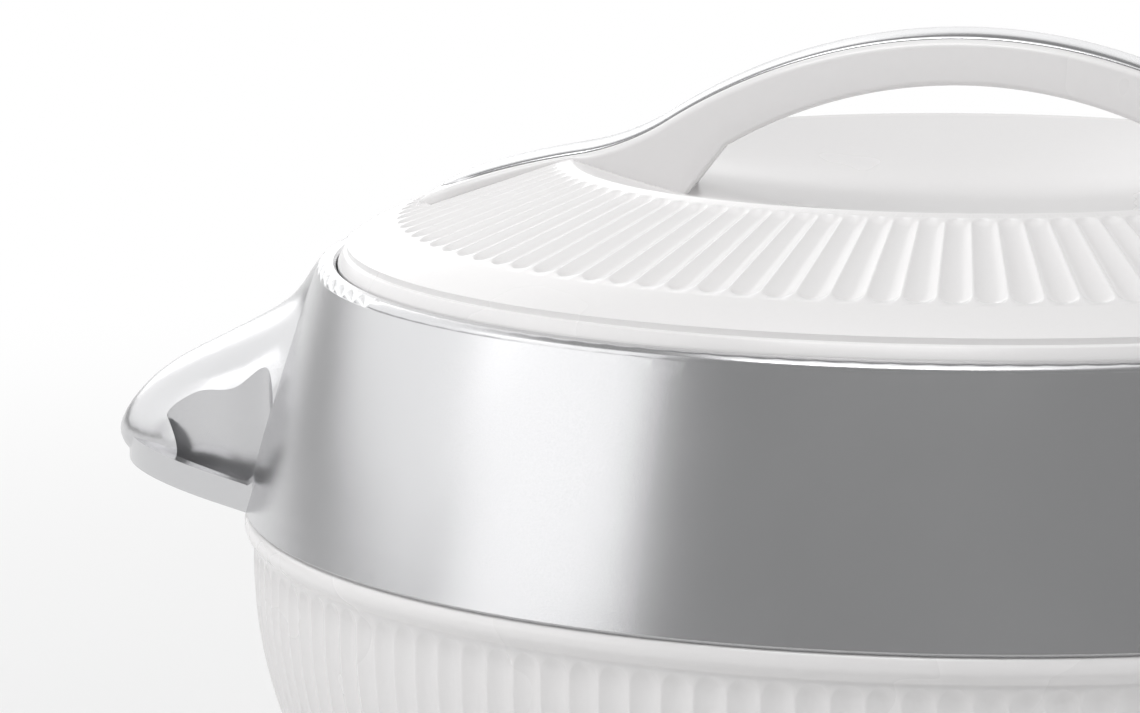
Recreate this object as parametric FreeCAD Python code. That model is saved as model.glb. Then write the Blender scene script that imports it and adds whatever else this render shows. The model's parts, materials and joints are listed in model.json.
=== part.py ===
"""Insulated casserole with two ears on its collar and a lift-off lid with a bridge handle.

Millimetres. The origin is on the table under the middle of the bowl, +Z up, +X along the handle and ears.
"""
import FreeCAD, Part
import math
import os

V = FreeCAD.Vector
ORIGIN = V(0, 0, 0)
UP = V(0, 0, 1)

# Heights, from the table upwards
STAND = 1.5                # table to the underside of the base plate
PLATE_T = 2.5              # base plate
BOWL_H = 72.0              # foot of the outer bowl to the collar
COLLAR_H = 45.5            # collar, bowl to lid

# Outer bowl, white plastic
BOWL_R = 130.8             # over the flutes, just under the bead
BOWL_ARC_R = 80.0          # round of its side, seen from the front
BOWL_ARC_TURN = 36.0       # degrees of that round
BOWL_STRAIGHT = 10.0       # upright stretch under the collar
BOWL_WALL = 2.5
BEAD_OUT = 1.7             # bead under the collar stands this far out of the bowl
BEAD_H = 4.8
BEAD_FULL_AT = 0.45        # share of its height at which the bead stands out most
SPIGOT_H = 8.0             # tongue of the bowl inside the collar
SPIGOT_T = 2.2
BASE_OPENING_R = 78.0
BOWL_FLUTES = 142
BOWL_FLUTE_DEPTH = 0.8
BOWL_FLUTE_TOP = 5.5       # below the collar
BOWL_FLUTE_END = 3.0       # degrees of the upper round left plain
FLUTE_SHARE = 0.475        # half a flute, as a share of its sector

# Collar, silver plastic
COLLAR_OVER = 1.5          # its lower edge stands this far outside the bowl
COLLAR_BULGE = 0.5
COLLAR_WALL = 2.9
COLLAR_EDGE = 0.6          # bevel at its lower edge
LIP_W = 3.6                # top face and its round, beside the lid
LIP_ROUND = 1.5
LIP_FLAT = 1.8             # level part of that face
LIP_INNER_EDGE = 0.5       # bevel at the lid recess
LIP_DEPTH = 5.6            # lid recess, down to the ledge
LEDGE_T = 2.5
LEDGE_W = 8.9

# Ears of the collar: a horn in the middle, a low rim round its foot and a slot at each side of the horn.
# EAR_CREST is (below the seam, out of the collar's skin); EAR_SLOT is a plan, (out of its lower edge, sideways)
EAR_CREST = [(1.5, 0.2), (7.1, 2.6), (10.7, 5.2), (15.0, 11.2), (19.6, 18.7), (24.2, 24.8), (28.2, 27.8),
             (32.2, 29.4), (35.8, 29.3), (38.2, 27.5), (40.5, 23.7), (46.5, 14.5)]
HORN_SPREAD = 11.3         # degrees each side at which its flank meets the collar
EAR_RIM_SPREAD = 14.4
EAR_RIM_OUT = 25.8         # rim, out of the collar in the middle
EAR_RIM_H = 5.2
EAR_RIM_LEVEL = 41.0       # below the seam, where the rim's plan is taken
EAR_BLEND = 0.13           # how softly a flank runs into the collar
EAR_TIP_BELOW = 39.2       # underside of the tip, below the lid seam
EAR_ROOT_IN = 0.6          # an ear's skin starts this deep in the collar
EAR_SLOT = [(14.0, 16.6), (8.4, 22.2), (1.9, 26.3), (-4.1, 29.0), (-7.6, 27.0), (-6.4, 22.8),
            (-1.3, 21.6), (4.7, 19.4), (10.7, 16.9)]

# Steel inner bowl
STEEL_T = 0.6
MOUTH_INSIDE = 0.5         # its wall stands this far inside the collar's ledge
INNER_TAPER = 5.5          # radius lost from mouth to corner
INNER_CORNER = 22.0
INNER_FLOOR_H = 14.0       # above the foot of the outer bowl
FLANGE_ROUND = 2.0
SEAL_T = 0.6
SEAL_IN = 1.0              # from the edge of the ledge

# Lid cover, white plastic
LID_R = 115.0
LID_RIM_DROP = 3.4         # rim below the seam
LID_RIM_H = 2.1            # side face above the seam
LID_RIM_DRAFT = 1.1
LID_STEP_H = 1.3
LID_STEP_IN = 0.6
LID_STEP_SLOPE = 0.2
LID_BAND_W = 10.8          # smooth band outside the fluted ring
LID_BAND_H = 7.7           # outer end of the fluted ring
LID_FLUTED_W = 29.8
LID_RING_H = 17.7          # inner end of the fluted ring
DISH_RIM_W = 2.4           # plain ring round the dish
DISH_EDGE_RISE = 0.6       # above the inner end of the flutes
DISH_EDGE_IN = 0.8         # bevel from that ring into the dish
DISH_EDGE_DROP = 0.4
DISH_FLOOR_H = 6.0
LID_WALL = 2.6
LID_RIM_EXTRA = 0.3        # the rim is thicker than the rest
LID_FLUTES = 108
LID_FLUTE_DEPTH = 1.1      # at the outer end

# Lid handle: a strap that runs along a chain of arcs, each (radius, degrees turned)
HANDLE_TOP_H = 41.2
HANDLE_TOP_BENDS = [(100.0, -32.7), (45.0, 23.2), (135.0, -11.5), (9.0, -42.0)]
HANDLE_GAP_H = 32.8
HANDLE_GAP_R = 84.0
HANDLE_GAP_TURN = -31.0
HANDLE_FOOT_X = 50.5       # inner face of a leg, on the dish
HANDLE_W = 19.0
HANDLE_END_W = 22.0
HANDLE_END_IN = 1.4        # its ends stop this far inside the fluted ring's outer edge
HANDLE_SEAT = 1.2          # depth of the lid's recess under legs and ends
STRAP_FLARE_FROM = 0.6     # share of the length at which the strap starts to widen
STRAP_NOSE = 0.8           # length of its round end, as a share of the half width
INLAY_W = 15.6
INLAY_END_W = 14.0
INLAY_END_IN = 5.8         # from the strap's end
INLAY_SUNK = 0.6
INLAY_PROUD = 1.1

# Inner lid
LINER_T = 0.5
LINER_DEPTH = 6.5          # from flange to panel
LINER_IN = 2.0             # its pan is this much smaller than the bowl's mouth
LINER_CORNER = 1.0
GASKET_T = 1.6
GASKET_LAP = 0.6           # the gasket laps the bowl's mouth by this much

# Fasteners, feet and plugs
BASE_SCREWS = 4
BASE_SCREW_R = 1.5
BASE_SCREW_HEAD_R = 3.3
BASE_SCREW_HEAD_H = 1.1
BASE_BOSS_R = 3.9
BASE_BOSS_H = 6.0
BASE_SCREW_SHORT = 1.5     # the screw ends this far below the top of its boss
SCREW_HOLE_OVER = 0.5      # a hole runs this far past the screw's end
FEET = 4
FOOT_R = 8.0
FOOT_RING_R = 66.0
FOOT_SUNK = 0.8
FOOT_BEVEL = 0.4
PLATE_EDGE = 2.0           # plate runs this far past the flat foot of the bowl
PLATE_RIM_T = 2.5
PLUG_R = 8.8
PLUG_CAP_R = 11.0
PLUG_CAP_T = 1.1
PLUG_STEM = 2.6
LID_PLUG_R = 5.8
LID_PLUG_CAP_R = 8.0
LID_PLUG_CAP_T = 1.0
LID_PLUG_STEM = 2.0
HANDLE_SCREW_IN = 6.5      # from the leg's inner face
HANDLE_SCREW_R = 1.6
HANDLE_SCREW_HEAD_R = 3.2
HANDLE_SCREW_HEAD_H = 2.2
HANDLE_SCREW_BITE = 6.0
WASHER_R = 4.2
WASHER_T = 0.8
HANDLE_BOSS_R = 4.6
HANDLE_BOSS_DROP = 5.0     # boss under the dish

# Clearances
FOAM_GAP = 0.3
LID_GAP = 0.4              # round the lid, in the collar's recess
SEAT_GAP = 0.3             # under the lid's gasket
FIT_GAP = 0.2
SCREW_GAP = 0.05
HOLE_GAP = 0.4

# Levels that follow
bowl_foot_z = STAND + PLATE_T
collar_z = bowl_foot_z + BOWL_H
seam_z = collar_z + COLLAR_H
ledge_z = seam_z - LIP_DEPTH
flange_top_z = ledge_z + SEAL_T + STEEL_T
recess_r = LID_R + LID_GAP
ledge_r = recess_r - LEDGE_W
mouth_r = ledge_r - MOUTH_INSIDE - FLANGE_ROUND
collar_top_r = recess_r + LIP_W
collar_bottom_r = BOWL_R + COLLAR_OVER
lid_band_r = LID_R - LID_BAND_W
lid_ring_r = lid_band_r - LID_FLUTED_W
dish_edge_r = lid_ring_r - DISH_RIM_W
handle_end_x = lid_band_r - HANDLE_END_IN
inlay_end_x = handle_end_x - INLAY_END_IN
handle_screw_x = HANDLE_FOOT_X + HANDLE_SCREW_IN
liner_r = mouth_r - LINER_IN
gasket_z = flange_top_z + SEAT_GAP
liner_flange_z = gasket_z + GASKET_T


def at(radius, height):
    """A point in the half plane that the round pieces are turned from."""
    return V(radius, 0, height)


def line(start, end):
    return Part.LineSegment(start, end).toShape()


def arc(start, middle, end):
    return Part.Arc(start, middle, end).toShape()


def on_circle(centre, radius, degrees):
    """A point of a circle in the XZ plane, degrees up from +X."""
    angle = math.radians(degrees)
    return V(centre.x + radius * math.cos(angle), centre.y, centre.z + radius * math.sin(angle))


def round_arc(centre, radius, start, end):
    return arc(on_circle(centre, radius, start), on_circle(centre, radius, (start + end) / 2),
               on_circle(centre, radius, end))


def bulged(start, end, bulge):
    """An arc that stands out from its chord, to the left of the way it runs."""
    chord = end - start
    left = V(-chord.z, 0, chord.x).normalize()
    return arc(start, (start + end) * 0.5 + left * bulge, end)


def close_profile(edges):
    """Join edges in order with straight lines where they don't meet, and fill the outline."""
    chain = []
    for edge in edges:
        if chain and (chain[-1].lastVertex(True).Point - edge.firstVertex(True).Point).Length > 1e-6:
            chain.append(line(chain[-1].lastVertex(True).Point, edge.firstVertex(True).Point))
        chain.append(edge)
    gap = chain[-1].lastVertex(True).Point - chain[0].firstVertex(True).Point
    if gap.Length > 1e-6:
        chain.append(line(chain[-1].lastVertex(True).Point, chain[0].firstVertex(True).Point))
    return Part.Face(Part.Wire(chain))


def path(*points):
    return [line(start, end) for start, end in zip(points, points[1:])]


def turned(face):
    return face.revolve(ORIGIN, UP, 360)


def cylinder(radius, low, high, x=0.0, y=0.0):
    return Part.makeCylinder(radius, high - low, V(x, y, low))


def tube(inner, outer, low, high):
    return cylinder(outer, low, high).cut(cylinder(inner, low, high))


def spun(shape, count, first=0.0):
    """Copies of a shape, evenly round the Z axis."""
    copies = []
    for number in range(count):
        copy = shape.copy()
        copy.rotate(ORIGIN, UP, first + 360.0 * number / count)
        copies.append(copy)
    return copies


def mirrored(shape):
    return shape.mirror(ORIGIN, V(1, 0, 0))


def fluted(profile, groove, count):
    """Turn a profile with one groove cut in each of its equal sectors, all sewn into one skin."""
    pitch = 360.0 / count
    first_side = profile.copy()
    first_side.rotate(ORIGIN, UP, -pitch / 2)
    sector = first_side.revolve(ORIGIN, UP, pitch).cut(groove)
    side_normals = [V(-math.sin(math.radians(turn)), math.cos(math.radians(turn)), 0)
                    for turn in (-pitch / 2, pitch / 2)]
    skins = []
    for face in sector.Faces:
        flat = face.Surface.TypeId == "Part::GeomPlane"
        if flat and any(abs(face.Surface.Axis.dot(normal)) > 0.9999999 for normal in side_normals):
            continue
        skins.append(face)
    shell = Part.makeCompound([copy for skin in skins for copy in spun(skin, count)])
    shell.sewShape(1e-4)
    solid = Part.Solid(shell.Shells[0] if shell.Shells else shell)
    return solid


# Shared outlines

bowl_arc_centre = at(BOWL_R - BOWL_ARC_R, collar_z - BOWL_STRAIGHT)
turn_sin = math.sin(math.radians(BOWL_ARC_TURN))
turn_cos = math.cos(math.radians(BOWL_ARC_TURN))
# The lower round runs on from the upper one and ends level with the foot
foot_arc_r = (bowl_arc_centre.z - BOWL_ARC_R * turn_sin - bowl_foot_z) / (1 - turn_sin)
foot_arc_centre = at(bowl_arc_centre.x + (BOWL_ARC_R - foot_arc_r) * turn_cos, bowl_foot_z + foot_arc_r)
base_flat_r = foot_arc_centre.x
plate_r = base_flat_r + PLATE_EDGE
base_screw_ring = (BASE_OPENING_R + base_flat_r) / 2


def bowl_side(inset):
    """The bowl's side from the upright stretch down to its foot, moved in by inset."""
    return [round_arc(bowl_arc_centre, BOWL_ARC_R - inset, 0, -BOWL_ARC_TURN),
            round_arc(foot_arc_centre, foot_arc_r - inset, -BOWL_ARC_TURN, -90)]


def collar_skin_r(below_seam):
    """Straight side of the collar, without its slight bulge."""
    share = (below_seam - LIP_ROUND) / (COLLAR_H - LIP_ROUND)
    return collar_top_r + (collar_bottom_r - collar_top_r) * share


def collar_inner_r(height):
    return collar_skin_r(seam_z - height) - COLLAR_WALL


def outer_bowl():
    spigot_top = collar_z + SPIGOT_H
    top_out = at(collar_inner_r(spigot_top) - FIT_GAP, spigot_top)
    root_out = at(collar_inner_r(collar_z) - FIT_GAP, collar_z)
    bead_top = at(BOWL_R + BEAD_OUT - COLLAR_EDGE, collar_z)
    bead_low = at(BOWL_R, collar_z - BEAD_H)
    outer = path(top_out, root_out, bead_top)
    outer.append(arc(bead_top, at(BOWL_R + BEAD_OUT, collar_z - BEAD_FULL_AT * BEAD_H), bead_low))
    outer += path(bead_low, at(BOWL_R, bowl_arc_centre.z)) + bowl_side(0)
    foot = path(at(BASE_OPENING_R, bowl_foot_z), at(BASE_OPENING_R, bowl_foot_z + BOWL_WALL))
    inner = reverse_chain(bowl_side(BOWL_WALL))
    inner += path(at(BOWL_R - BOWL_WALL, bowl_arc_centre.z), at(BOWL_R - BOWL_WALL, collar_z - BEAD_H),
                  at(root_out.x - SPIGOT_T, collar_z), at(top_out.x - SPIGOT_T, spigot_top))
    bowl = fluted(close_profile(outer + foot + inner), bowl_groove(), BOWL_FLUTES)
    bosses = spun(cylinder(BASE_BOSS_R, bowl_foot_z, bowl_foot_z + BOWL_WALL + BASE_BOSS_H, base_screw_ring),
                  BASE_SCREWS)
    bowl = bowl.fuse(bosses)
    return bowl.cut(spun(base_screw_hole(), BASE_SCREWS))


def bowl_groove():
    """One flute of the bowl: a round tool whose middle follows the bowl's side."""
    half_width = FLUTE_SHARE * 2 * math.pi * BOWL_R / BOWL_FLUTES
    tool_r = (half_width ** 2 + BOWL_FLUTE_DEPTH ** 2) / (2 * BOWL_FLUTE_DEPTH)
    reach = BOWL_ARC_R - BOWL_FLUTE_DEPTH + tool_r
    start = bowl_arc_centre + V(reach, 0, 0)
    top = V(start.x, 0, collar_z - BOWL_FLUTE_TOP - half_width)
    low_turn = BOWL_ARC_TURN - BOWL_FLUTE_END
    end = on_circle(bowl_arc_centre, reach, -low_turn)
    disc = Part.Face(Part.Wire(Part.makeCircle(tool_r, start, UP)))
    bend = disc.revolve(bowl_arc_centre, V(0, 1, 0), low_turn)
    straight = Part.makeCylinder(tool_r, top.z - start.z, start)
    return bend.fuse([straight, Part.makeSphere(tool_r, top), Part.makeSphere(tool_r, end)])


def base_screw_hole():
    return cylinder(BASE_SCREW_R + SCREW_GAP, bowl_foot_z - 1, base_screw_top() + SCREW_HOLE_OVER, base_screw_ring)


def base_screw_top():
    return bowl_foot_z + BOWL_WALL + BASE_BOSS_H - BASE_SCREW_SHORT


def base_screw():
    head_z = STAND + FIT_GAP
    head = cylinder(BASE_SCREW_HEAD_R, head_z, head_z + BASE_SCREW_HEAD_H, base_screw_ring)
    return head.fuse(cylinder(BASE_SCREW_R, head_z, base_screw_top(), base_screw_ring))


def base_plate():
    rim_out = BASE_OPENING_R - FIT_GAP
    plate = cylinder(plate_r, STAND, bowl_foot_z)
    plate = plate.fuse(tube(rim_out - PLATE_RIM_T, rim_out, bowl_foot_z, bowl_foot_z + BOWL_WALL))
    head_top = STAND + FIT_GAP + BASE_SCREW_HEAD_H
    screw_way = cylinder(BASE_SCREW_R + HOLE_GAP, STAND, bowl_foot_z, base_screw_ring)
    screw_way = screw_way.fuse(cylinder(BASE_SCREW_HEAD_R + HOLE_GAP, STAND, head_top, base_screw_ring))
    foot_seat = cylinder(FOOT_R + FIT_GAP, STAND, STAND + FOOT_SUNK, FOOT_RING_R)
    plug_way = cylinder(PLUG_R + FIT_GAP, STAND, bowl_foot_z)
    plug_way = plug_way.fuse(cylinder(PLUG_CAP_R + FIT_GAP, STAND, STAND + PLUG_CAP_T))
    ways = spun(screw_way, BASE_SCREWS) + spun(foot_seat, FEET, 180.0 / FEET) + [plug_way]
    return plate.cut(ways)


def rubber_foot():
    foot = cylinder(FOOT_R, 0, STAND + FOOT_SUNK, FOOT_RING_R)
    return foot.makeChamfer(FOOT_BEVEL, [edge for edge in foot.Edges if edge.BoundBox.ZMax < 0.1])


def base_plug():
    cap = cylinder(PLUG_CAP_R, STAND, STAND + PLUG_CAP_T)
    return cap.fuse(cylinder(PLUG_R, STAND, STAND + PLUG_CAP_T + PLUG_STEM))


def lip_round(start, end):
    """A quarter of an ellipse, near enough, from the collar's top face to its side."""
    corner = at(end.x, start.z)
    return arc(start, corner + ((start + end) * 0.5 - corner) * (2 - math.sqrt(2)), end)


def collar_ring():
    top_out = at(collar_top_r, seam_z - LIP_ROUND)
    low_out = at(collar_bottom_r, collar_z + COLLAR_EDGE)
    lip_out = at(recess_r + LIP_FLAT, seam_z)
    outer = path(at(recess_r + LIP_INNER_EDGE, seam_z), lip_out)
    outer.append(lip_round(lip_out, top_out))
    outer.append(bulged(top_out, low_out, COLLAR_BULGE))
    under_ledge = ledge_z - LEDGE_T
    inner = path(at(collar_bottom_r - COLLAR_EDGE, collar_z), at(collar_inner_r(collar_z), collar_z),
                 at(collar_inner_r(under_ledge), under_ledge), at(ledge_r, under_ledge),
                 at(ledge_r, ledge_z), at(recess_r, ledge_z), at(recess_r, seam_z - LIP_INNER_EDGE))
    return turned(close_profile(outer + inner))


def ear_outline(level, out, spread):
    """Level section of an ear: full reach in the middle, run out into the collar at both sides."""
    root = collar_skin_r(level) - EAR_ROOT_IN
    steps = 16
    points = []
    for step in range(-steps, steps + 1):
        turn = 1.5 * spread * step / steps
        share = 1 - (turn / spread) ** 2
        soft_share = (share + math.sqrt(share ** 2 + EAR_BLEND ** 2)) / 2
        radius = root + (out + EAR_ROOT_IN) * soft_share
        angle = math.radians(turn)
        points.append(V(radius * math.cos(angle), radius * math.sin(angle), seam_z - level))
    front = Part.BSplineCurve()
    front.interpolate(points)
    back_r = root - COLLAR_WALL / 3
    back = [V(back_r * math.cos(math.radians(turn)), back_r * math.sin(math.radians(turn)), points[0].z)
            for turn in (1.5 * spread, 0, -1.5 * spread)]
    return Part.Wire([front.toShape(), line(points[-1], back[0]), arc(*back), line(back[-1], points[0])])


def ear_under(rise):
    """Everything below the ear's sloping underside, raised by rise. It starts on the collar's lower bevel."""
    tip_r = collar_bottom_r + max(out for below, out in EAR_CREST)
    tip_z = seam_z - EAR_TIP_BELOW + rise
    drop = collar_z - COLLAR_WALL
    start = at(collar_bottom_r - COLLAR_EDGE / 2, collar_z + COLLAR_EDGE / 2 + rise)
    in_wall = at(collar_bottom_r - COLLAR_WALL / 2, collar_z + COLLAR_WALL / 2 + rise)
    inner_r = collar_bottom_r - 3 * COLLAR_WALL
    return turned(Part.Face(Part.makePolygon([
        start, at(tip_r, tip_z), at(tip_r + COLLAR_WALL, tip_z), at(tip_r + COLLAR_WALL, drop),
        at(inner_r, drop), at(inner_r, in_wall.z), in_wall, start])))


def ear_rim():
    plan = Part.Face(ear_outline(EAR_RIM_LEVEL, EAR_RIM_OUT, EAR_RIM_SPREAD))
    block = plan.extrude(V(0, 0, EAR_RIM_LEVEL))
    block = block.fuse(plan.extrude(V(0, 0, -EAR_RIM_LEVEL)))
    return block.common(ear_under(EAR_RIM_H))


def ear_slots():
    """The two slots between an ear's horn and its rim, straight down."""
    slots = []
    for side in (1, -1):
        curve = Part.BSplineCurve()
        curve.interpolate([V(collar_bottom_r + out, side * along, collar_z - COLLAR_WALL)
                           for out, along in EAR_SLOT], PeriodicFlag=True)
        slots.append(Part.Face(Part.Wire(curve.toShape())).extrude(V(0, 0, COLLAR_H)))
    return slots


def ear():
    horn = Part.makeLoft([ear_outline(below, out, HORN_SPREAD) for below, out in EAR_CREST], True, False)
    return horn.fuse(ear_rim()).cut([ear_under(0)] + ear_slots())


def collar():
    right = ear()
    return collar_ring().fuse([right, mirrored(right)])


def inner_bowl_side(outward):
    """Steel wall from the flange to the middle of the floor, moved outward."""
    bend = at(mouth_r + FLANGE_ROUND, flange_top_z - FLANGE_ROUND)
    floor_z = bowl_foot_z + INNER_FLOOR_H
    corner = at(mouth_r - INNER_TAPER - INNER_CORNER, floor_z + INNER_CORNER)
    return [round_arc(bend, FLANGE_ROUND - outward, 90, 180),
            line(at(mouth_r + outward, bend.z), at(corner.x + INNER_CORNER + outward, corner.z)),
            round_arc(corner, INNER_CORNER + outward, 0, -90),
            line(at(corner.x, floor_z - outward), at(0, floor_z - outward))]


def inner_bowl():
    flange_r = recess_r - HOLE_GAP
    inside = path(at(flange_r, flange_top_z), at(mouth_r + FLANGE_ROUND, flange_top_z)) + inner_bowl_side(0)
    under = turned(close_profile(path(at(flange_r, flange_top_z), at(0, flange_top_z)) + [
        line(at(0, flange_top_z), at(0, bowl_foot_z + INNER_FLOOR_H - STEEL_T)),
    ] + reverse_chain(inner_bowl_side(STEEL_T)) + path(
        at(mouth_r + FLANGE_ROUND, flange_top_z - STEEL_T), at(flange_r, flange_top_z - STEEL_T))))
    hollow = turned(close_profile(reverse_chain(inside)[:-1] + path(
        at(mouth_r + FLANGE_ROUND, flange_top_z), at(mouth_r + FLANGE_ROUND, flange_top_z + 1),
        at(0, flange_top_z + 1))))
    return under.cut(hollow)


def reverse_chain(edges):
    """The same edges, run the other way."""
    turned_round = []
    for edge in reversed(edges):
        start, end = edge.firstVertex(True).Point, edge.lastVertex(True).Point
        if edge.Curve.TypeId == "Part::GeomLine":
            turned_round.append(line(end, start))
        else:
            middle = edge.valueAt((edge.FirstParameter + edge.LastParameter) / 2)
            turned_round.append(arc(end, middle, start))
    return turned_round


def rim_seal():
    return tube(ledge_r + SEAL_IN, recess_r - HOLE_GAP, ledge_z, ledge_z + SEAL_T)


def body_foam():
    top_z = ledge_z - LEDGE_T - FOAM_GAP
    spigot_top = collar_z + SPIGOT_H
    spigot_in = SPIGOT_T + FIT_GAP + FOAM_GAP
    gap = STEEL_T + FOAM_GAP
    out = path(at(mouth_r + gap, top_z), at(collar_inner_r(top_z) - FOAM_GAP, top_z),
               at(collar_inner_r(spigot_top + FOAM_GAP) - FOAM_GAP, spigot_top + FOAM_GAP),
               at(collar_inner_r(spigot_top) - spigot_in, spigot_top + FOAM_GAP),
               at(collar_inner_r(collar_z) - spigot_in, collar_z),
               at(BOWL_R - BOWL_WALL - FOAM_GAP, collar_z - BEAD_H),
               at(BOWL_R - BOWL_WALL - FOAM_GAP, bowl_arc_centre.z))
    out += bowl_side(BOWL_WALL + FOAM_GAP)
    foot_z = bowl_foot_z + BOWL_WALL + FOAM_GAP
    rim_in = BASE_OPENING_R - FIT_GAP - PLATE_RIM_T - FOAM_GAP
    out += path(at(base_flat_r, foot_z), at(rim_in, foot_z), at(rim_in, bowl_foot_z + FOAM_GAP),
                at(0, bowl_foot_z + FOAM_GAP), at(0, bowl_foot_z + INNER_FLOOR_H - gap))
    wall = reverse_chain(inner_bowl_side(gap)[1:])
    foam = turned(close_profile(out + wall))
    boss = cylinder(BASE_BOSS_R + FOAM_GAP, bowl_foot_z, bowl_foot_z + BOWL_WALL + BASE_BOSS_H + FOAM_GAP,
                    base_screw_ring)
    plug = cylinder(PLUG_R + FOAM_GAP, bowl_foot_z, STAND + PLUG_CAP_T + PLUG_STEM + FOAM_GAP)
    return foam.cut(spun(boss, BASE_SCREWS) + [plug])


# Lid outlines

rim_top = at(LID_R - LID_RIM_DRAFT, seam_z + LID_RIM_H)
step_low = at(rim_top.x - LID_STEP_IN, rim_top.z + LID_STEP_SLOPE)
step_top = at(step_low.x, rim_top.z + LID_STEP_H)
band_end = at(lid_band_r, seam_z + LID_BAND_H)
ring_end = at(lid_ring_r, seam_z + LID_RING_H)
dish_edge = at(dish_edge_r, ring_end.z + DISH_EDGE_RISE)
dish_start = at(dish_edge_r - DISH_EDGE_IN, dish_edge.z - DISH_EDGE_DROP)
cone_turn = math.atan2(ring_end.z - band_end.z, band_end.x - ring_end.x)
dish_depth = dish_start.z - seam_z - DISH_FLOOR_H
dish_ball_r = (dish_start.x ** 2 + dish_depth ** 2) / (2 * dish_depth)
dish_centre = at(0, seam_z + DISH_FLOOR_H + dish_ball_r)


def dish_z(radius, drop=0.0):
    """Height of the dish at a radius, or of the face that lies drop under it."""
    return dish_centre.z - math.sqrt((dish_ball_r + drop) ** 2 - radius ** 2)


def lid_top(drop):
    """The lid's upper outline from the rim step to the middle of the dish, drop under it."""
    slant = V(-math.sin(cone_turn), 0, -math.cos(cone_turn)) * drop
    band_turn = 2 * (math.atan2(band_end.z - step_top.z, step_top.x - band_end.x) - cone_turn)
    band_bulge = (step_top - band_end).Length / 2 * math.tan(band_turn / 4)
    band_low = step_top + slant
    ring_in = ring_end + slant
    outline = [bulged(band_low, band_end + slant, -band_bulge), line(band_end + slant, ring_in)]
    peak = at(dish_edge_r, dish_edge.z - drop)
    dish_r = dish_edge_r - DISH_EDGE_IN - 0.2 * drop
    dish_top = at(dish_r, dish_z(dish_r, drop))
    outline += path(ring_in, peak, dish_top)
    half = dish_r / 2
    outline.append(arc(dish_top, at(half, dish_z(half, drop)), at(0, dish_z(0, drop))))
    return outline


def lid_groove():
    """One flute of the lid: a cone with round ends, wide outside and narrow inside."""
    width_share = 2 * FLUTE_SHARE * math.tan(math.pi / LID_FLUTES)
    depth_share = LID_FLUTE_DEPTH / lid_band_r
    tool_share = (width_share ** 2 + depth_share ** 2) / (2 * depth_share)
    normal = V(math.sin(cone_turn), 0, math.cos(cone_turn))
    down = V(math.cos(cone_turn), 0, -math.sin(cone_turn))

    def tool_centre(radius):
        share = (lid_band_r - radius) / (lid_band_r - lid_ring_r)
        return band_end + (ring_end - band_end) * share + normal * (tool_share - depth_share) * radius

    inner_r = lid_ring_r * (1 + width_share)
    outer_r = lid_band_r * (1 - width_share)
    inner, outer = tool_centre(inner_r), tool_centre(outer_r)
    axis = (outer - inner).normalize()
    side = V(-axis.z, 0, axis.x)
    ball_in, ball_out = tool_share * inner_r, tool_share * outer_r
    lean = math.asin((ball_out - ball_in) / (outer - inner).Length)

    def on_ball(centre, radius, angle):
        return centre + (side * math.cos(angle) + axis * math.sin(angle)) * radius

    quarter = math.pi / 2
    first = arc(on_ball(inner, ball_in, -quarter), on_ball(inner, ball_in, -(quarter + lean) / 2),
                on_ball(inner, ball_in, -lean))
    last = arc(on_ball(outer, ball_out, -lean), on_ball(outer, ball_out, (quarter - lean) / 2),
               on_ball(outer, ball_out, quarter))
    return close_profile([first, last]).revolve(inner, axis, 360)


def screw_seat_z():
    return dish_z(handle_screw_x) - HANDLE_BOSS_DROP


def both_ends(shape):
    return [shape, mirrored(shape)]


def handle_seat():
    """Recess in the lid cover that a leg of the handle and its end lie in."""
    plan = strap_plan(HANDLE_W / 2 + FIT_GAP, HANDLE_END_W / 2 + FIT_GAP, handle_end_x + FIT_GAP, seam_z,
                      seam_z + HANDLE_TOP_H)
    between = Part.makeBox(HANDLE_FOOT_X - FIT_GAP + 1, 2 * HANDLE_END_W, HANDLE_TOP_H,
                           V(-1, -HANDLE_END_W, seam_z))
    return plan.cut([between, lid_block(-HANDLE_SEAT)])


def lid_cover():
    rim_low = seam_z - LID_RIM_DROP
    inner_rim = LID_R - LID_WALL - LID_RIM_EXTRA
    outer = path(at(LID_R, rim_low), at(LID_R, seam_z), rim_top, step_low, step_top) + lid_top(0)
    inner = reverse_chain(lid_top(LID_WALL))
    inner += path(inner[-1].lastVertex(True).Point, at(inner_rim, seam_z), at(inner_rim, rim_low))
    cover = fluted(close_profile(outer + path(at(0, dish_z(0)), at(0, dish_z(0, LID_WALL))) + inner),
                   lid_groove(), LID_FLUTES)
    boss = cylinder(HANDLE_BOSS_R, screw_seat_z(), dish_z(handle_screw_x) - LID_WALL / 2, handle_screw_x)
    hole = cylinder(HANDLE_SCREW_R + HOLE_GAP, screw_seat_z() - 1, seam_z + HANDLE_TOP_H, handle_screw_x)
    return cover.fuse(both_ends(boss)).cut(both_ends(hole) + both_ends(handle_seat()))


def chain(start, bends):
    """Arcs that run on from each other, level at the start; a negative turn bends down."""
    edges = []
    heading = 0.0
    point = start
    for radius, turn in bends:
        side = 90 if turn > 0 else -90
        centre = on_circle(point, radius, heading + side)
        first = heading - side
        edges.append(round_arc(centre, radius, first, first + turn))
        heading += turn
        point = on_circle(centre, radius, first + turn)
    return edges


def strap_top(rise):
    """Upper outline of the strap from its crown to its +X end, moved up by rise."""
    bends = [(radius - rise if turn > 0 else radius + rise, turn) for radius, turn in HANDLE_TOP_BENDS]
    return chain(at(0, seam_z + HANDLE_TOP_H + rise), bends)


def along_y(face, width):
    block = face.extrude(V(0, width, 0))
    block.translate(V(0, -width / 2, 0))
    return block


def lid_block(rise):
    """Everything under the lid's unfluted outline, raised by rise."""
    top = lid_top(-rise)
    return turned(close_profile(path(at(0, seam_z - 5), at(LID_R, seam_z - 5), top[0].firstVertex(True).Point) + top))


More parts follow.
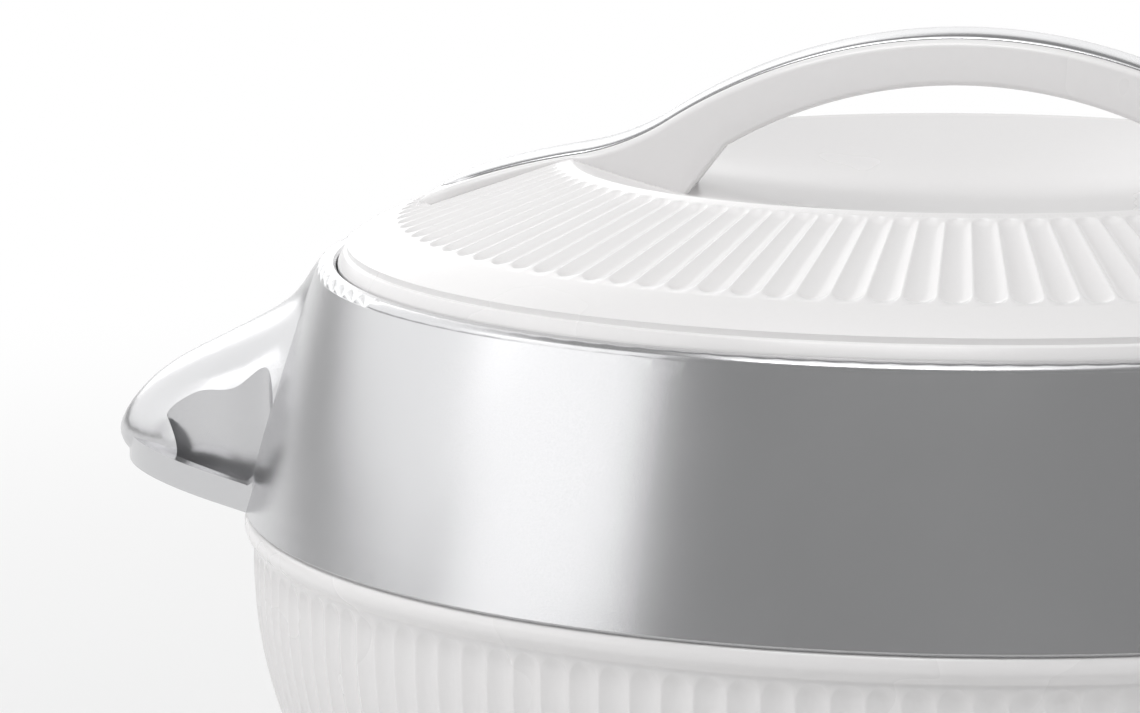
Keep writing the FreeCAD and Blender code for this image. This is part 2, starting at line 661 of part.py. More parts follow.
def strap_plan(half_width, end_half_width, end_x, low, high):
    """Plan of one half of the strap, its end rounded, as a block between two levels."""
    nose = end_x - STRAP_NOSE * end_half_width
    edges = path(V(-1, -half_width, low), V(STRAP_FLARE_FROM * end_x, -half_width, low), V(nose, -end_half_width, low))
    edges.append(arc(V(nose, -end_half_width, low), V(end_x - 0.25 * end_half_width, -0.7 * end_half_width, low),
                     V(end_x, 0, low)))
    edges.append(arc(V(end_x, 0, low), V(end_x - 0.25 * end_half_width, 0.7 * end_half_width, low),
                     V(nose, end_half_width, low)))
    edges += path(V(nose, end_half_width, low), V(STRAP_FLARE_FROM * end_x, half_width, low), V(-1, half_width, low),
                  V(-1, -half_width, low))
    return Part.Face(Part.Wire(edges)).extrude(V(0, 0, high - low))


def handle_half():
    top = strap_top(0)
    gap = chain(at(0, seam_z + HANDLE_GAP_H), [(HANDLE_GAP_R, HANDLE_GAP_TURN)])
    tip = top[-1].lastVertex(True).Point
    foot = at(HANDLE_FOOT_X, dish_z(HANDLE_FOOT_X))
    low = seam_z
    side = close_profile(top + path(tip, at(tip.x, low), at(HANDLE_FOOT_X, low), foot) + reverse_chain(gap))
    block = along_y(side, 2 * HANDLE_END_W)
    plan = strap_plan(HANDLE_W / 2, HANDLE_END_W / 2, handle_end_x, low, seam_z + HANDLE_TOP_H + 5)
    return block.common(plan).cut(lid_block(FIT_GAP - HANDLE_SEAT))


def inlay_half(rise, sunk, spare):
    top = strap_top(rise)
    low = reverse_chain(strap_top(-sunk))
    band = along_y(close_profile(top + low), 2 * INLAY_W)
    plan = strap_plan(INLAY_W / 2 + spare, INLAY_END_W / 2 + spare, inlay_end_x + spare, seam_z,
                      seam_z + HANDLE_TOP_H + 5)
    return band.common(plan)


def joined(half):
    """A half from the middle to +X, joined to its mirror image."""
    return half.fuse(mirrored(half)).removeSplitter()


def handle_inlay():
    return joined(inlay_half(INLAY_PROUD, INLAY_SUNK, 0))


def lid_handle():
    handle = joined(handle_half())
    pocket = joined(inlay_half(3, INLAY_SUNK, FIT_GAP / 2))
    pilot = cylinder(HANDLE_SCREW_R + SCREW_GAP, seam_z, handle_screw_top() + SCREW_HOLE_OVER, handle_screw_x)
    return handle.cut([pocket] + both_ends(pilot))


def handle_screw_top():
    return dish_z(handle_screw_x) + HANDLE_SCREW_BITE


def handle_screw():
    under_washer = screw_seat_z() - WASHER_T
    head = cylinder(HANDLE_SCREW_HEAD_R, under_washer - HANDLE_SCREW_HEAD_H, under_washer, handle_screw_x)
    return head.fuse(cylinder(HANDLE_SCREW_R, under_washer - 1, handle_screw_top(), handle_screw_x))


def handle_washer():
    ring = cylinder(WASHER_R, screw_seat_z() - WASHER_T, screw_seat_z(), handle_screw_x)
    return ring.cut(cylinder(HANDLE_SCREW_R + FIT_GAP, screw_seat_z() - 2, screw_seat_z() + 1, handle_screw_x))


liner_out_r = LID_R - LID_WALL - LID_RIM_EXTRA - FIT_GAP
panel_z = liner_flange_z - LINER_DEPTH


def lid_liner():
    flange_z = liner_flange_z
    pan = cylinder(liner_out_r, flange_z, flange_z + LINER_T).fuse(cylinder(liner_r, panel_z, flange_z))
    hollow = cylinder(liner_r - LINER_T, panel_z + LINER_T, flange_z + LINER_T)
    hole = cylinder(LID_PLUG_R + FIT_GAP, panel_z - 1, flange_z)
    pan = pan.cut(hollow)
    corner = [edge for edge in pan.Edges
              if abs(edge.BoundBox.ZMax - panel_z) < 0.01 and edge.BoundBox.XMax > liner_r - 0.1]
    return pan.makeFillet(LINER_CORNER, corner[:1]).cut(hole)


def lid_gasket():
    return tube(mouth_r - GASKET_LAP, liner_out_r, gasket_z, liner_flange_z)


def lid_plug():
    cap = cylinder(LID_PLUG_CAP_R, panel_z - LID_PLUG_CAP_T, panel_z)
    return cap.fuse(cylinder(LID_PLUG_R, panel_z, panel_z + LID_PLUG_STEM))


def lid_foam():
    low = panel_z + LINER_T + FOAM_GAP
    step = liner_flange_z + LINER_T + FOAM_GAP
    in_r = liner_r - LINER_T - FOAM_GAP
    out_r = liner_out_r - FOAM_GAP
    top = lid_top(LID_WALL + FOAM_GAP)
    first = top[0].firstVertex(True).Point
    outline = path(at(0, low), at(in_r, low), at(in_r, step), at(out_r, step), at(out_r, seam_z - 0.5), first)
    foam = turned(close_profile(outline + top))
    head_low = screw_seat_z() - WASHER_T - HANDLE_SCREW_HEAD_H - FOAM_GAP
    pocket = cylinder(HANDLE_BOSS_R + FOAM_GAP, head_low, dish_z(handle_screw_x), handle_screw_x)
    plug = cylinder(LID_PLUG_R + FOAM_GAP, panel_z, panel_z + LID_PLUG_STEM + FOAM_GAP)
    return foam.cut(both_ends(pocket) + [plug])


def write(name, *shapes):
    shape = shapes[0] if len(shapes) == 1 else Part.makeCompound(shapes)
    shape.exportStep(os.path.join("parts", name + ".step"))
    box = shape.BoundBox
    print(f"{name}: {len(shape.Solids)} solid, valid {shape.isValid()}, {shape.Volume / 1000:.1f} cm3, "
          f"{box.XLength:.1f} x {box.YLength:.1f} x {box.ZLength:.1f} mm, z {box.ZMin:.1f} to {box.ZMax:.1f}")


os.makedirs("parts", exist_ok=True)
write("outer_bowl", outer_bowl())
write("base_plate", base_plate())
write("base_screws", *spun(base_screw(), BASE_SCREWS))
write("base_foam_plug", base_plug())
for number, foot in enumerate(spun(rubber_foot(), FEET, 180.0 / FEET), start=1):
    write(f"rubber_foot_{number}", foot)
write("collar", collar())
write("rim_seal", rim_seal())
write("inner_bowl", inner_bowl())
write("body_foam", body_foam())
write("lid_cover", lid_cover())
write("lid_handle", lid_handle())
write("handle_inlay", handle_inlay())
write("handle_screws", *both_ends(handle_screw()))
write("handle_washers", *both_ends(handle_washer()))
write("lid_foam", lid_foam())
write("lid_liner", lid_liner())
write("lid_gasket", lid_gasket())
write("lid_foam_plug", lid_plug())
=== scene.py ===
# %% [markdown]
# Insulated casserole, dressed for a studio picture.
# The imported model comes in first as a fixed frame, so that every piece made here is placed by the real
# sizes of the real parts. Nothing in it is moved.

# %% Load the frame
import bpy
import bmesh
import numpy as np
from math import atan2, cos, pi, radians, sin, sqrt, tan
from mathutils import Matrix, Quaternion, Vector
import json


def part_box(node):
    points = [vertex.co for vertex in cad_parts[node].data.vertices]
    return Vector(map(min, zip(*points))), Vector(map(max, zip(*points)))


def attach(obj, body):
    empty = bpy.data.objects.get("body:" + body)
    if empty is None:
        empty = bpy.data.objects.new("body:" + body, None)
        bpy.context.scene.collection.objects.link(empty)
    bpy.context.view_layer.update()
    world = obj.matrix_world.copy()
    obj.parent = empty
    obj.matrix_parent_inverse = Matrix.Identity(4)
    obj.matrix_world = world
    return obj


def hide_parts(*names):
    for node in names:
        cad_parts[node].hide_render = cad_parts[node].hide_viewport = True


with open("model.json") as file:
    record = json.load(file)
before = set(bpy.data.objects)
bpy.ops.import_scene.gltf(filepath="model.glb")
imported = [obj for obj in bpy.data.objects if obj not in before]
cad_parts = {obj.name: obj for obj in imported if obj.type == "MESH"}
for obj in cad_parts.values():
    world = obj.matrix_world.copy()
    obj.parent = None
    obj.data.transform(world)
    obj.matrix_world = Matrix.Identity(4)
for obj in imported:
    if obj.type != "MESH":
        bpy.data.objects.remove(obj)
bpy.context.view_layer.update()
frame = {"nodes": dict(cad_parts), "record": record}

# %% [markdown]
# The levels and radii that the shells share are read from the frame's own boxes. The lid seam is the top of
# the collar, and everything on the lid is written as a height above it. Sizes here are in millimetres, and
# one helper turns them into the metres that the scene is in.

# %% Shared sizes
MM = 0.001


def box_mm(node):
    """Lowest and highest corner of a part of the frame, in millimetres."""
    low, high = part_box(node)
    return np.array(low) / MM, np.array(high) / MM


seam_z = box_mm("collar")[1][2]
collar_z = box_mm("collar")[0][2]
foot_z = box_mm("outer_bowl")[0][2]
lid_r = box_mm("lid_cover")[1][0]
lid_low_z = box_mm("lid_cover")[0][2]
inlay_half_w = box_mm("handle_inlay")[1][1]
strap_end_x = box_mm("lid_handle")[1][0]
print("seam", seam_z, "collar bottom", collar_z, "foot", foot_z, "lid radius", lid_r)

# %% [markdown]
# Every shell is written as a grid of points, rows by columns, and a short helper makes it a mesh. A grid
# keeps the faces in tidy rings and strips, which shade cleanly, and it is easy to close on itself. The other
# way, a modifier on a plain cylinder, gives no say in where the edges of a flute fall.

# %% Mesh helpers
WELD = 0.00001                        # metres


def grid_faces(rows, columns, close_rows, close_columns):
    """Quads of a grid of points, each row joined to the next."""
    faces = []
    for row in range(rows if close_rows else rows - 1):
        below = (row + 1) % rows
        for column in range(columns if close_columns else columns - 1):
            after = (column + 1) % columns
            faces.append((row * columns + column, row * columns + after,
                          below * columns + after, below * columns + column))
    return faces


def mark_sharp(mesh, degrees):
    """Smooth faces, with the edges that turn more than this kept crisp."""
    work = bmesh.new()
    work.from_mesh(mesh)
    bmesh.ops.remove_doubles(work, verts=work.verts, dist=WELD)
    bmesh.ops.recalc_face_normals(work, faces=work.faces)
    for face in work.faces:
        face.smooth = True
    for edge in work.edges:
        edge.smooth = not (edge.is_manifold and edge.calc_face_angle(0) > radians(degrees))
    work.to_mesh(mesh)
    work.free()


def add_piece(name, points, faces, crisp=40):
    """An object from points in millimetres."""
    mesh = bpy.data.meshes.new(name)
    mesh.from_pydata((np.asarray(points, float).reshape(-1, 3) * MM).tolist(), [], faces)
    mark_sharp(mesh, crisp)
    piece = bpy.data.objects.new(name, mesh)
    bpy.context.scene.collection.objects.link(piece)
    return piece


def settle(piece, body, slot, material, *nodes):
    """Put a piece on its body, in place of the plain nodes it stands for."""
    piece.data.materials.append(material)
    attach(piece, body)
    if nodes:
        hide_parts(*nodes)
    print(piece.name, len(piece.data.vertices), "points,", len(piece.data.polygons), "faces")

# %% [markdown]
# The outlines that are turned into shells have rounded corners, because a moulded edge always has a small
# radius, and that radius is what catches the light. This helper takes corner points and a radius for each,
# and puts a short arc in place of every corner.

# %% Rounded outlines
LONGEST_ROUND = 0.45                  # share of an outline's side that one rounding may take


def rounded(corners, steps=4):
    """Points (radius, height) from corners (radius, height, rounding)."""
    points = []
    for index, (x, z, size) in enumerate(corners):
        here = np.array((x, z), float)
        if size <= 0 or index in (0, len(corners) - 1):
            points.append(here)
            continue
        before = np.array(corners[index - 1][:2]) - here
        after = np.array(corners[index + 1][:2]) - here
        reach = min(size, LONGEST_ROUND * np.linalg.norm(before), LONGEST_ROUND * np.linalg.norm(after))
        start = here + before / np.linalg.norm(before) * reach
        end = here + after / np.linalg.norm(after) * reach
        for step in range(steps + 1):
            share = step / steps
            points.append((1 - share) ** 2 * start + 2 * share * (1 - share) * here + share ** 2 * end)
    return np.array(points)


def arc_points(centre, radius, start, end, count):
    """Points of a circle, angles in degrees up from the radius."""
    angles = np.radians(np.linspace(start, end, count))
    return np.stack([centre[0] + radius * np.cos(angles), centre[1] + radius * np.sin(angles)], 1)

# %% [markdown]
# White moulded plastic, silver paint, steel and rubber are the finishes. Each one is a Principled shader with
# fine noise for what the eye reads as real: a faint unevenness in the gloss, and a very shallow waviness
# that breaks up the highlights. Numbers that are the same all over stay on the shader's own sockets.

# %% Material helpers
NOISE_LOW, NOISE_HIGH = 0.3, 0.7      # where nearly all of a noise texture's values lie
GLOSS_SWING = 0.12
BROAD_SCALE = 18.0


def link_noise(nodes, links, scale, detail):
    """A noise texture that stays fixed to the object."""
    place = nodes.new("ShaderNodeTexCoord")
    noise = nodes.new("ShaderNodeTexNoise")
    noise.inputs["Scale"].default_value = scale
    noise.inputs["Detail"].default_value = detail
    links.new(place.outputs["Object"], noise.inputs["Vector"])
    return noise


def spread(nodes, links, source, low, high):
    """Stretch a 0 to 1 value to low to high."""
    span = nodes.new("ShaderNodeMapRange")
    span.inputs["From Min"].default_value = NOISE_LOW
    span.inputs["From Max"].default_value = NOISE_HIGH
    span.inputs["To Min"].default_value = low
    span.inputs["To Max"].default_value = high
    links.new(source, span.inputs["Value"])
    return span.outputs["Result"]


def finish_material(name, colour, roughness, metallic=0.0, grain=2000.0, wave=0.0, shift=0.02, bump=0.0):
    """A moulded, painted or metal finish with fine unevenness in colour, gloss and surface."""
    material = bpy.data.materials.new(name)
    material.use_nodes = True
    nodes, links = material.node_tree.nodes, material.node_tree.links
    shader = nodes["Principled BSDF"]
    shader.inputs["Metallic"].default_value = metallic
    fine = link_noise(nodes, links, grain, 2.0)
    broad = link_noise(nodes, links, BROAD_SCALE, 3.0)
    tint = nodes.new("ShaderNodeMix")
    tint.data_type = "RGBA"
    tint.inputs["A"].default_value = [max(0.0, part - shift) for part in colour] + [1]
    tint.inputs["B"].default_value = [min(1.0, part + shift) for part in colour] + [1]
    links.new(fine.outputs["Fac"], tint.inputs["Factor"])
    links.new(tint.outputs["Result"], shader.inputs["Base Color"])
    gloss = spread(nodes, links, broad.outputs["Fac"], roughness * (1 - GLOSS_SWING),
                   roughness * (1 + GLOSS_SWING))
    links.new(gloss, shader.inputs["Roughness"])
    dents = nodes.new("ShaderNodeBump")
    dents.inputs["Strength"].default_value = 1.0
    dents.inputs["Distance"].default_value = bump
    ripple = link_noise(nodes, links, wave, 1.0) if wave else fine
    links.new(ripple.outputs["Fac"], dents.inputs["Height"])
    links.new(dents.outputs["Normal"], shader.inputs["Normal"])
    return material

# %% [markdown]
# Each finish then takes one line. The bump depths are in metres, so a few hundredths of a millimetre is as
# deep as any of them goes, apart from the foam, which is coarse. The pale silver is nearly all metal, and
# its grain is what keeps its dark front from looking like glass.

# %% Materials


white_gloss = finish_material("white_gloss_plastic", (0.80, 0.79, 0.79), 0.26, grain=900.0, shift=0.008,
                              wave=120.0, bump=0.00001)
white_matte = finish_material("white_matte_plastic", (0.78, 0.78, 0.77), 0.45, grain=2500.0, shift=0.01,
                              bump=0.00001)
silver_satin = finish_material("silver_paint", (0.60, 0.60, 0.61), 0.24, metallic=0.9, grain=3500.0,
                               shift=0.05, wave=3500.0, bump=0.000004)
steel_satin = finish_material("satin_steel", (0.62, 0.62, 0.63), 0.28, metallic=1.0, grain=1500.0, shift=0.03,
                              wave=900.0, bump=0.000004)
plated_steel = finish_material("plated_steel", (0.55, 0.56, 0.58), 0.35, metallic=1.0, grain=2500.0,
                               shift=0.03, bump=0.000005)
soft_rubber = finish_material("soft_rubber", (0.10, 0.10, 0.11), 0.6, grain=3000.0, shift=0.01, bump=0.00001)
pale_rubber = finish_material("pale_rubber", (0.62, 0.62, 0.61), 0.5, grain=3000.0, shift=0.01, bump=0.00001)
cream_foam = finish_material("cream_foam", (0.72, 0.64, 0.42), 0.8, grain=1200.0, shift=0.05, bump=0.0001)
print("finishes", [material.name for material in bpy.data.materials])

# %% [markdown]
# A fluted band is what gives this piece its look, on the bowl and on the lid. Each flute is a shallow scoop
# with rounded ends, and a thin ridge is left between two of them. A bump map would vanish at the outline,
# so the scoops are real geometry. Every flute gets its own fan of columns, squeezed together towards the
# scoop's round ends, so that its edge is one clean line of points.

# %% Fluted bands
ACROSS = np.array([-1.0, -0.92, -0.7, -0.36, 0.0, 0.36, 0.7, 0.92, 1.0])


def fluted_rows(spine, count, half_share, depth_at):
    """Rows of points for a band, from one end to the other.

    Each entry of spine is (radius, height, normal radius, normal height, distance past the middle of the
    round end in half widths), and depth_at gives the scoop's depth at a radius.
    """
    pitch = 2 * pi / count
    rows = []
    for radius, height, out, up, past in spine:
        narrow = sqrt(max(0.0, 1 - past ** 2))
        half_angle = half_share * pitch * narrow
        depth = depth_at(radius) * narrow ** 2
        row = []
        for flute in range(count):
            middle = flute * pitch
            row.append((radius, height, middle - pitch / 2))
            for across in ACROSS:
                sunk = depth * (1 - across ** 2)
                row.append((radius - out * sunk, height - up * sunk, middle + across * half_angle))
        rows.append(row)
    return np.array(rows)


def ring_rows(outline, count, half_share):
    """Plain rows that line up with a fluted band's columns."""
    pitch = 2 * pi / count
    angles = []
    for flute in range(count):
        angles.append(flute * pitch - pitch / 2)
        angles += [flute * pitch + across * half_share * pitch for across in ACROSS]
    return np.array([[(radius, height, angle) for angle in angles] for radius, height in outline])


def to_points(rows):
    """Radius, height and angle to x, y and z."""
    radius, height, angle = rows[..., 0], rows[..., 1], rows[..., 2]
    return np.stack([radius * np.cos(angle), radius * np.sin(angle), height], -1)


END_STEPS = np.array([0.985, 0.95, 0.88, 0.75, 0.55, 0.3, 0.0])


def band_stations(length, first_half, last_half, middle_steps):
    """Distance along the band and share past the round end's middle, with close steps at the ends."""
    stations = [(first_half * (1 - past), past) for past in END_STEPS]
    for step in range(1, middle_steps):
        stations.append((first_half + (length - first_half - last_half) * step / middle_steps, 0.0))
    stations += [(length - last_half * (1 - past), past) for past in END_STEPS[::-1]]
    return stations

# %% [markdown]
# The outer bowl hangs its flutes under a small round bead, where the collar sits. Its side is one large
# round that tightens towards the foot. The flutes stop before the foot, which is the only plain part.

# %% Outer bowl
BOWL_R = 130.8
BOWL_ARC_R = 80.0
BOWL_ARC_TURN = 36.0
BOWL_STRAIGHT = 10.0
BOWL_WALL = 2.5
BEAD_OUT = 1.7
BEAD_H = 4.8
BOWL_FLUTES = 142
BOWL_FLUTE_DEPTH = 0.8
BOWL_FLUTE_TOP = 5.5
FLUTE_SHARE = 0.475
FLUTE_THINS = 1.5                     # power by which a scoop gets shallower with the radius
NECK_IN, NECK_UP = 6.0, 5.0
WALL_IN = 2.0
UNDER_R = 80.0
UNDER_LIP = 2.5

arc_x, arc_z = BOWL_R - BOWL_ARC_R, collar_z - BOWL_STRAIGHT
turn_sin, turn_cos = sin(radians(BOWL_ARC_TURN)), cos(radians(BOWL_ARC_TURN))
foot_r = (arc_z - BOWL_ARC_R * turn_sin - foot_z) / (1 - turn_sin)
foot_x = arc_x + (BOWL_ARC_R - foot_r) * turn_cos


def bowl_station(along):
    """Point and normal on the bowl's side, along its outline from just under the bead."""
    straight = collar_z - BOWL_FLUTE_TOP - arc_z
    if along <= straight:
        return BOWL_R, collar_z - BOWL_FLUTE_TOP - along, 1.0, 0.0
    turn = (along - straight) / BOWL_ARC_R
    return arc_x + BOWL_ARC_R * cos(turn), arc_z - BOWL_ARC_R * sin(turn), cos(turn), -sin(turn)


def bowl_top():
    """The neck inside the collar, the bead and the start of the side."""
    bead_x = BOWL_R + BEAD_OUT
    return rounded([(BOWL_R - NECK_IN, collar_z + NECK_UP, 0), (BOWL_R - 1.6, collar_z, 0.3),
                    (bead_x - 0.6, collar_z, 0.8), (bead_x, collar_z - 1.8, 1.2),
                    (bead_x - 0.1, collar_z - 3.2, 1.0), (BOWL_R, collar_z - BEAD_H, 1.0), (BOWL_R, collar_z - BOWL_FLUTE_TOP + 0.15, 0)])


def bowl_bottom():
    """The plain foot, the underside and the inner face of the wall."""
    side = arc_points((arc_x, arc_z), BOWL_ARC_R, -BOWL_ARC_TURN + 0.9, -BOWL_ARC_TURN, 2)
    foot = arc_points((foot_x, foot_z + foot_r), foot_r, -BOWL_ARC_TURN - 3, -90, 14)
    under = np.array([(foot_x - 3, foot_z), (UNDER_R, foot_z), (UNDER_R, foot_z + UNDER_LIP - 0.1),
                      (foot_x, foot_z + UNDER_LIP)])
    inner_foot = arc_points((foot_x, foot_z + foot_r), foot_r - BOWL_WALL, -85, -BOWL_ARC_TURN, 6)
    inner_side = arc_points((arc_x, arc_z), BOWL_ARC_R - BOWL_WALL, -30, 0, 5)
    neck = [(BOWL_R - NECK_IN - WALL_IN, collar_z + NECK_UP)]
    return np.concatenate([side, foot, under, inner_foot, inner_side, neck])


def outer_bowl():
    half_w = FLUTE_SHARE * 2 * pi * BOWL_R / BOWL_FLUTES
    length = collar_z - BOWL_FLUTE_TOP - arc_z + BOWL_ARC_R * radians(BOWL_ARC_TURN - 1.0)
    stations = band_stations(length, half_w, half_w, 26)
    spine = [(*bowl_station(along), past) for along, past in stations]
    band = fluted_rows(spine, BOWL_FLUTES, FLUTE_SHARE,
                       lambda radius: BOWL_FLUTE_DEPTH * (radius / BOWL_R) ** FLUTE_THINS)
    rows = np.concatenate([ring_rows(bowl_top(), BOWL_FLUTES, FLUTE_SHARE), band,
                           ring_rows(bowl_bottom(), BOWL_FLUTES, FLUTE_SHARE)])
    points = to_points(rows)
    return add_piece("fluted_bowl", points, grid_faces(points.shape[0], points.shape[1], True, True))


settle(outer_bowl(), "base", "white_gloss", white_gloss, "outer_bowl")

# %% [markdown]
# The lid cover has the same flutes, but they lie on a cone and narrow towards the middle, like the lines of
# a shell. Outside them runs a smooth band with a stepped rim, and inside them the lid dips into a shallow
# dish. The whole outline is turned in one piece, so that the light runs over it without a break.

# %% Lid cover
RIM_H = 2.1
RIM_DRAFT = 1.1
STEP_IN = 0.6
STEP_H = 1.3
BAND_R, BAND_H = 104.2, 7.7
RING_R, RING_H = 74.4, 17.7
DISH_EDGE_R, DISH_EDGE_RISE = 72.0, 0.6
DISH_EDGE_IN, DISH_EDGE_DROP = 0.8, 0.4
DISH_FLOOR_H = 6.0
CENTRE_R = 0.3                        # the dish closes with one small flat face of this radius
SKIRT_W = 3.0
LID_WALL = 2.6
LID_FLUTES = 108
LID_FLUTE_DEPTH = 1.1

cone_turn = atan2(RING_H - BAND_H, BAND_R - RING_R)
dish_top_r = DISH_EDGE_R - DISH_EDGE_IN
dish_depth = RING_H + DISH_EDGE_RISE - DISH_EDGE_DROP - DISH_FLOOR_H
dish_ball_r = (dish_top_r ** 2 + dish_depth ** 2) / (2 * dish_depth)


def dish_z(radius):
    """Height of the dish above the seam."""
    return DISH_FLOOR_H + dish_ball_r - np.sqrt(dish_ball_r ** 2 - np.asarray(radius, float) ** 2)


def band_curve(count):
    """The smooth band between the rim's step and the flutes, as one arc tangent to the cone."""
    start = np.array((lid_r - RIM_DRAFT - STEP_IN, RIM_H + STEP_H))
    end = np.array((BAND_R, BAND_H))
    chord = end - start
    lean = atan2(chord[1], -chord[0]) - cone_turn
    bulge = np.linalg.norm(chord) / 2 * tan(lean / 2)
    side = np.array((chord[1], -chord[0])) / np.linalg.norm(chord)
    share = np.linspace(0, 1, count)[:, None]
    return start + chord * share + side * bulge * 4 * share * (1 - share)


def lid_band():
    """The fluted cone."""
    slant = sqrt((BAND_R - RING_R) ** 2 + (RING_H - BAND_H) ** 2)
    outer_half = FLUTE_SHARE * 2 * pi * BAND_R / LID_FLUTES
    inner_half = FLUTE_SHARE * 2 * pi * RING_R / LID_FLUTES
    spine = []
    for along, past in band_stations(slant, outer_half, inner_half, 14):
        share = along / slant
        spine.append((BAND_R + (RING_R - BAND_R) * share, seam_z + BAND_H + (RING_H - BAND_H) * share,
                      sin(cone_turn), cos(cone_turn), past))
    return fluted_rows(spine, LID_FLUTES, FLUTE_SHARE, lambda radius: LID_FLUTE_DEPTH * radius / BAND_R)


def lid_outside():
    """Plain outlines before the cone (the stepped rim and smooth band) and after it (the dish)."""
    top_x = lid_r - RIM_DRAFT
    rim = rounded([(lid_r - SKIRT_W, lid_low_z, 0), (lid_r, lid_low_z, 0.4), (lid_r, seam_z, 0.3),
                   (top_x, seam_z + RIM_H, 0.35), (top_x - STEP_IN, seam_z + RIM_H + 0.15, 0.2),
                   (top_x - STEP_IN, seam_z + RIM_H + STEP_H, 0)])
    swell = band_curve(9) + (0, seam_z)
    edge_z = seam_z + RING_H + DISH_EDGE_RISE
    crest = rounded([(RING_R - 0.1, seam_z + RING_H + 0.03, 0), (DISH_EDGE_R, edge_z, 1.0),
                     (dish_top_r, edge_z - DISH_EDGE_DROP, 0.5),
                     (dish_top_r - 3, seam_z + float(dish_z(dish_top_r - 3)), 0)])
    reach = np.linspace(dish_top_r - 5, CENTRE_R, 22)
    dish = np.stack([reach, seam_z + dish_z(reach)], 1)
    return np.concatenate([rim[:-1], swell[:-1]]), np.concatenate([crest, dish])


def lid_underside():
    """A plain outline under all of it, so that the cover is a closed shell."""
    radii = [lid_r - SKIRT_W, lid_r - SKIRT_W, BAND_R - 1, RING_R, DISH_EDGE_R - 1, 50, 25, CENTRE_R]
    heights = [lid_low_z, seam_z + 0.3, seam_z + BAND_H - LID_WALL, seam_z + RING_H - LID_WALL - 0.3,
               seam_z + RING_H - LID_WALL - 0.6]
    heights += [seam_z + dish_z(radius) - LID_WALL for radius in (50, 25, 0)]
    return np.stack([radii, heights], 1)


def lid_cover():
    before, after = lid_outside()
    rows = np.concatenate([ring_rows(before, LID_FLUTES, FLUTE_SHARE), lid_band(),
                           ring_rows(after, LID_FLUTES, FLUTE_SHARE)])
    above = to_points(rows)
    below = to_points(ring_rows(lid_underside(), LID_FLUTES, FLUTE_SHARE))
    count, columns = above.shape[:2]
    start = count * columns
    faces = grid_faces(count, columns, False, True)
    faces.append(tuple((count - 1) * columns + column for column in range(columns)))
    for face in grid_faces(len(below), columns, False, True):
        faces.append(tuple(start + index for index in face[::-1]))
    faces.append(tuple(start + (len(below) - 1) * columns + column for column in range(columns)))
    return add_piece("fluted_lid", np.concatenate([above.reshape(-1, 3), below.reshape(-1, 3)]), faces)


settle(lid_cover(), "lid", "white_gloss", white_gloss, "lid_cover")

# %% [markdown]
# The handle is a strap on edge: it leaves the lid's rim as a flat tongue, rises over the dish in a long arch,
# and stands on two short legs. It is built from upright cross-sections along X. Each section is a rounded
# bar with a shallow tray in its top, which the silver strip lies in.

# %% Handle outline
TOP_H = 41.2
TOP_BENDS = [(100.0, -32.7), (45.0, 23.2), (135.0, -11.5), (9.0, -42.0)]
GAP_H, GAP_R, GAP_TURN = 32.8, 84.0, -31.0
LEG_X = 50.5
STRAP_HALF = 9.5
STRAP_END_HALF = 11.0
EDGE_ROUND = 1.5
TRAY_DEPTH = 0.6
TRAY_GAP = 0.12
STRAP_NOSE = 8.5
FLARE_FROM, FLARE_OVER = 60.0, 30.0
NOSE_POWER = 2.2
FOOT_IN, TONGUE_IN = 0.4, 0.9         # how far the legs and the tongues reach into the lid
INLAY_END_SHARE = 0.92
INLAY_NOSE = 9.0
inlay_end_x = box_mm("handle_inlay")[1][0]
inlay_proud = box_mm("handle_inlay")[1][2] - seam_z - TOP_H


def chained(start, bends):
    """Fine points along arcs that run on from each other, level at the start."""
    points, heading, point = [start], 0.0, np.array(start, float)
    for radius, turn in bends:
        side = np.sign(turn)
        centre = point + radius * side * np.array((-sin(radians(heading)), cos(radians(heading))))
        first = heading - 90 * side
        points += list(arc_points(centre, radius, first, first + turn, 40)[1:])
        heading += turn
        point = np.array(points[-1])
    return np.array(points)


strap_line = chained((0.0, TOP_H), TOP_BENDS)
gap_line = chained((0.0, GAP_H), [(GAP_R, GAP_TURN)])
gap_end = gap_line[-1]


def strap_top(x):
    """Height of the strap's top above the seam."""
    return np.interp(np.abs(x), strap_line[:, 0], strap_line[:, 1])


def lid_surface(x):
    """Height of the lid's plain outline above the seam."""
    x = np.abs(x)
    cone = BAND_H + (BAND_R - x) * tan(cone_turn)
    crest = RING_H + DISH_EDGE_RISE - (x - DISH_EDGE_R) * DISH_EDGE_RISE / (RING_R - DISH_EDGE_R)
    return np.where(x < dish_top_r, dish_z(np.minimum(x, dish_top_r)), np.where(x < RING_R, crest, cone))


def strap_bottom(x):
    """Underside of the strap: the arch, the slanting face of the leg, then just inside the lid."""
    x = abs(x)
    if x <= gap_end[0]:
        return float(np.interp(x, gap_line[:, 0], gap_line[:, 1]))
    if x <= LEG_X:
        share = (x - gap_end[0]) / (LEG_X - gap_end[0])
        foot = float(dish_z(LEG_X)) - FOOT_IN
        return gap_end[1] + (foot - gap_end[1]) * share
    return float(lid_surface(x)) - TONGUE_IN


def half_width(x, middle, end, end_x, nose):
    """Half width of a strap that flares a little and closes in a round nose."""
    x = abs(x)
    flare = middle + (end - middle) * np.clip((x - FLARE_FROM) / FLARE_OVER, 0, 1) ** 2
    past = max(0.0, (x - (end_x - nose)) / nose)
    return flare * sqrt(max(0.0, 1 - min(1.0, past) ** NOSE_POWER))

# %% [markdown]
# A section goes once round the strap: the tray's floor, its thin side, the rounded shoulder, the upright
# side face and the softer lower edge. Every section has the same number of points, so neighbours join into
# clean strips. The stations stand close where the legs meet the lid and at the round noses.

# %% Handle strap
LOW_EDGE_ROUND = 1.2
TRAY_LIP_W = 0.1
THINNEST = 0.6


